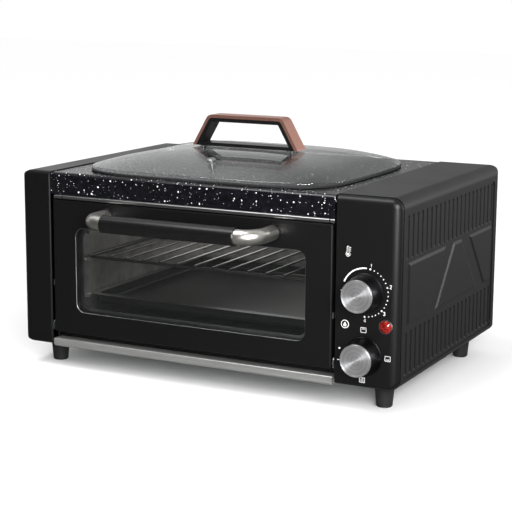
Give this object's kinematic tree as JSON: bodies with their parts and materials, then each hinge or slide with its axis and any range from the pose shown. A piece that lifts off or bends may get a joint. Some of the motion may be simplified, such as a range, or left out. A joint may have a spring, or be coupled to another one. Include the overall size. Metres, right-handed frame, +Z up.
{
  "type": "countertop electric tandoor",
  "caption": "Countertop grill oven with a drop-down glazed door, side control panel, cast grill plate on top and a lift-off domed glass lid.",
  "frame": {"origin": "on the table under the centre of the bounding box, handle and cord gland included", "axes": "+X to the right as the user sees the front, +Y to the rear, +Z up"},
  "size_m": [0.43, 0.3415, 0.2646],
  "materials": {
    "black_enamel": "satin black paint on pressed steel",
    "inner_steel": "plain galvanised sheet",
    "liner": "bright aluminised sheet",
    "satin_steel": "satin stainless trim",
    "chrome": "polished chrome plating",
    "nonstick_cast": "speckled non-stick coating on cast aluminium",
    "black_plastic": "fine matt phenolic",
    "black_rubber": "matt rubber and silicone",
    "glass": "clear tempered glass",
    "rose_gold": "brushed rose-gold coated steel",
    "element_sheath": "dark heat-stained sheath",
    "insulator": "glazed steatite",
    "zinc": "zinc-plated steel",
    "red_lens": "clear red lens",
    "wire_insulation": "silicone-covered lead",
    "white_plastic": "moulded white nylon"
  },
  "bodies": {
    "body": {"base_pan": "inner_steel", "left_cover": "black_enamel", "right_cover": "black_enamel", "control_panel": "black_enamel", "rear_panel": "black_enamel", "left_inner_wall": "inner_steel", "right_inner_wall": "inner_steel", "front_frame": "black_enamel", "oven_liner": "liner", "front_sill": "satin_steel", "trim_strip": "satin_steel", "trim_end_caps": "satin_steel", "grill_plate": "nonstick_cast", "foot_front_left": "black_rubber", "foot_front_right": "black_rubber", "foot_rear_left": "black_rubber", "foot_rear_right": "black_rubber", "foot_screws": "zinc", "rear_screws": "zinc", "plate_screws": "zinc", "upper_heating_elements": "element_sheath", "lower_heating_elements": "element_sheath", "element_insulators": "insulator", "wire_rack": "chrome", "baking_tray": "nonstick_cast", "hinge_brackets": "zinc", "thermostat": "inner_steel", "mode_switch": "white_plastic", "control_bracket": "inner_steel", "lamp_bezel": "chrome", "lamp_lens": "red_lens", "neon_lamp": "white_plastic", "terminal_block": "white_plastic", "cord_gland": "black_rubber", "internal_wiring": "wire_insulation"},
    "door": {"door_panel": "black_enamel", "door_glass": "glass", "door_inner_frame": "inner_steel", "door_hinge_pins": "zinc", "door_springs": "zinc", "door_check_arms": "zinc", "door_handle_bar": "chrome", "door_handle_grip": "black_plastic", "door_handle_collars": "chrome", "door_handle_screws": "zinc"},
    "lid": {"lid_glass": "glass", "lid_rim_seal": "black_rubber", "lid_handle_band": "rose_gold", "lid_handle_core": "black_plastic", "lid_handle_screws": "zinc", "lid_handle_washers": "black_rubber", "lid_steam_vent": "zinc"},
    "temperature_knob": {"temp_knob_body": "black_plastic", "temp_knob_cap": "satin_steel", "temp_shaft": "zinc"},
    "mode_knob": {"mode_knob_body": "black_plastic", "mode_knob_cap": "satin_steel", "mode_shaft": "zinc"}
  },
  "joints": [
    {"name": "door_hinge", "type": "hinge", "parent": "body", "child": "door", "pos_m": [-0.01625, -0.11825, 0.0428], "axis": [1, 0, 0], "range_deg": [0, 80]},
    {"name": "lid_lift", "type": "slide", "parent": "body", "child": "lid", "axis": [0, 0, 1], "range_m": [0, 0.15]},
    {"name": "temperature_turn", "type": "hinge", "parent": "body", "child": "temperature_knob", "pos_m": [0.1796, -0.13425, 0.1176], "axis": [0, 1, 0], "range_deg": [0, 270]},
    {"name": "mode_turn", "type": "hinge", "parent": "body", "child": "mode_knob", "pos_m": [0.1796, -0.13425, 0.0555], "axis": [0, 1, 0], "range_deg": [0, 270]}
  ]
}
